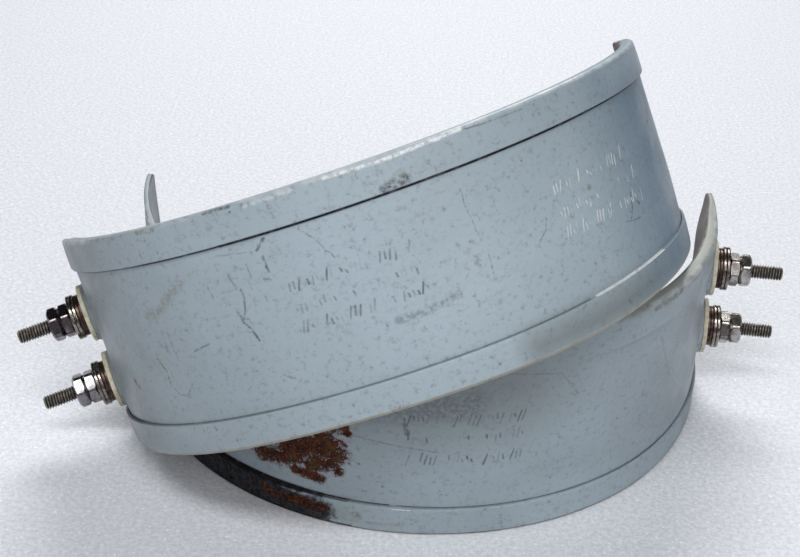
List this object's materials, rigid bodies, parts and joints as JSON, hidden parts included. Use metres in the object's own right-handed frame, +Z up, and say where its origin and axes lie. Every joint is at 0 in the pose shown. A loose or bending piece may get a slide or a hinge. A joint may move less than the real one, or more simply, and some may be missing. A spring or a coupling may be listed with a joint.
{
  "type": "mica band heater",
  "caption": "Two-piece mica band heater in painted sheet steel: half shells with folded edges and screw terminals, stored one across the other.",
  "frame": {"origin": "on the lower half's barrel axis, at the level it stands on", "axes": "+Z up along the lower half's barrel axis; +X towards the lower half's terminals; -Y the outer side of both halves"},
  "size_m": [0.2166, 0.1143, 0.1182],
  "materials": {
    "painted_steel": "dull pale blue-grey, worn and lightly rusted",
    "mica_sheet": "matt pressed mica",
    "resistance_alloy": "oxidised resistance ribbon",
    "plated_steel": "nickel plate, tarnished",
    "brown_washer": "heat-tinted steel",
    "mica_washer": "matt cream",
    "ceramic_bushing": "matt white"
  },
  "bodies": {
    "lower_half": {"lower_sheath": "painted_steel", "lower_cover": "painted_steel", "lower_inner_mica": "mica_sheet", "lower_outer_mica": "mica_sheet", "lower_core_strip_a": "mica_sheet", "lower_core_strip_b": "mica_sheet", "lower_resistance_ribbon": "resistance_alloy", "lower_lead_tab_a": "resistance_alloy", "lower_stud_a": "plated_steel", "lower_bushing_a": "ceramic_bushing", "lower_mica_washer_a": "mica_washer", "lower_seat_washer_a": "brown_washer", "lower_flat_washer_a": "plated_steel", "lower_lead_tab_b": "resistance_alloy", "lower_stud_b": "plated_steel", "lower_bushing_b": "ceramic_bushing", "lower_mica_washer_b": "mica_washer", "lower_seat_washer_b": "brown_washer", "lower_flat_washer_b": "plated_steel"},
    "lower_clamp_washer_a": {"lower_clamp_washer_a": "plated_steel"},
    "lower_nuts_a": {"lower_inner_nut_a": "plated_steel", "lower_outer_nut_a": "plated_steel"},
    "lower_clamp_washer_b": {"lower_clamp_washer_b": "plated_steel"},
    "lower_nuts_b": {"lower_inner_nut_b": "plated_steel", "lower_outer_nut_b": "plated_steel"},
    "upper_half": {"upper_sheath": "painted_steel", "upper_cover": "painted_steel", "upper_inner_mica": "mica_sheet", "upper_outer_mica": "mica_sheet", "upper_core_strip_a": "mica_sheet", "upper_core_strip_b": "mica_sheet", "upper_resistance_ribbon": "resistance_alloy", "upper_lead_tab_a": "resistance_alloy", "upper_stud_a": "plated_steel", "upper_bushing_a": "ceramic_bushing", "upper_mica_washer_a": "mica_washer", "upper_seat_washer_a": "brown_washer", "upper_flat_washer_a": "plated_steel", "upper_lead_tab_b": "resistance_alloy", "upper_stud_b": "plated_steel", "upper_bushing_b": "ceramic_bushing", "upper_mica_washer_b": "mica_washer", "upper_seat_washer_b": "brown_washer", "upper_flat_washer_b": "plated_steel"},
    "upper_clamp_washer_a": {"upper_clamp_washer_a": "plated_steel"},
    "upper_nuts_a": {"upper_inner_nut_a": "plated_steel", "upper_outer_nut_a": "plated_steel"},
    "upper_clamp_washer_b": {"upper_clamp_washer_b": "plated_steel"},
    "upper_nuts_b": {"upper_inner_nut_b": "plated_steel", "upper_outer_nut_b": "plated_steel"}
  },
  "joints": [
    {"name": "upper_half_lift", "type": "slide", "parent": "lower_half", "child": "upper_half", "axis": [0, 0, 1], "range_m": [0, 0.1]},
    {"name": "lower_clamp_a_travel", "type": "slide", "parent": "lower_half", "child": "lower_clamp_washer_a", "axis": [0.9959, -0.0903, 0], "range_m": [0, 0.00635]},
    {"name": "lower_nuts_a_turn", "type": "hinge", "parent": "lower_clamp_washer_a", "child": "lower_nuts_a", "pos_m": [0.09182, -0.00832, 0.0225], "axis": [0.9959, -0.0903, 0], "range_deg": [0, 2880]},
    {"name": "lower_clamp_b_travel", "type": "slide", "parent": "lower_half", "child": "lower_clamp_washer_b", "axis": [0.9959, -0.0903, 0], "range_m": [0, 0.00635]},
    {"name": "lower_nuts_b_turn", "type": "hinge", "parent": "lower_clamp_washer_b", "child": "lower_nuts_b", "pos_m": [0.09182, -0.00832, 0.0425], "axis": [0.9959, -0.0903, 0], "range_deg": [0, 2880]},
    {"name": "upper_clamp_a_travel", "type": "slide", "parent": "upper_half", "child": "upper_clamp_washer_a", "axis": [-0.9131, -0.3056, -0.2698], "range_m": [0, 0.00635]},
    {"name": "upper_nuts_a_turn", "type": "hinge", "parent": "upper_clamp_washer_a", "child": "upper_nuts_a", "pos_m": [-0.1003, -0.04155, 0.034], "axis": [-0.9131, -0.3056, -0.2698], "range_deg": [0, 2880]},
    {"name": "upper_clamp_b_travel", "type": "slide", "parent": "upper_half", "child": "upper_clamp_washer_b", "axis": [-0.9131, -0.3056, -0.2698], "range_m": [0, 0.00635]},
    {"name": "upper_nuts_b_turn", "type": "hinge", "parent": "upper_clamp_washer_b", "child": "upper_nuts_b", "pos_m": [-0.09304, -0.0477, 0.01641], "axis": [-0.9131, -0.3056, -0.2698], "range_deg": [0, 2880]}
  ],
  "couplings": [
    {"joint": "lower_nuts_a_turn", "follows": "lower_clamp_a_travel", "rad_per_m": 7913.3},
    {"joint": "lower_nuts_b_turn", "follows": "lower_clamp_b_travel", "rad_per_m": 7913.3},
    {"joint": "upper_nuts_a_turn", "follows": "upper_clamp_a_travel", "rad_per_m": 7913.3},
    {"joint": "upper_nuts_b_turn", "follows": "upper_clamp_b_travel", "rad_per_m": 7913.3}
  ]
}
